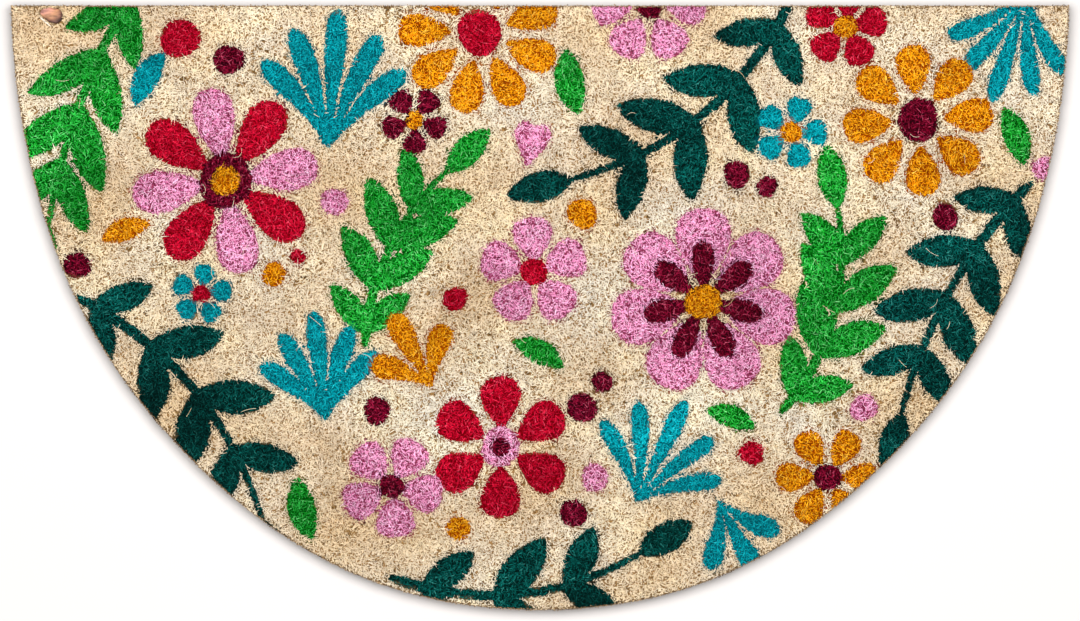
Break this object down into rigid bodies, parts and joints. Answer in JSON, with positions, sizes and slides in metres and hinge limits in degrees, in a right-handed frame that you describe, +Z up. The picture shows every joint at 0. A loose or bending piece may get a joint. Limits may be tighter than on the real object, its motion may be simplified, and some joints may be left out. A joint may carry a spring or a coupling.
{
  "type": "half-round coir doormat",
  "caption": "Half-round doormat of dense coconut-fibre pile on a vinyl backing, with a printed floral pattern; lies flat with its straight side at the door.",
  "frame": {"origin": "middle of the mat's outline box, on the floor under the backing", "axes": "+X along the straight side, +Y towards the door from the curved side, +Z up out of the pile"},
  "size_m": [0.7, 0.4, 0.015],
  "materials": {
    "vinyl": "matt, finely pebbled vinyl in a tan brown",
    "coir": "dense cut coconut fibre, natural straw colour, screen printed"
  },
  "bodies": {
    "root": {"backing": "vinyl", "coir_pile": "coir"}
  },
  "joints": []
}
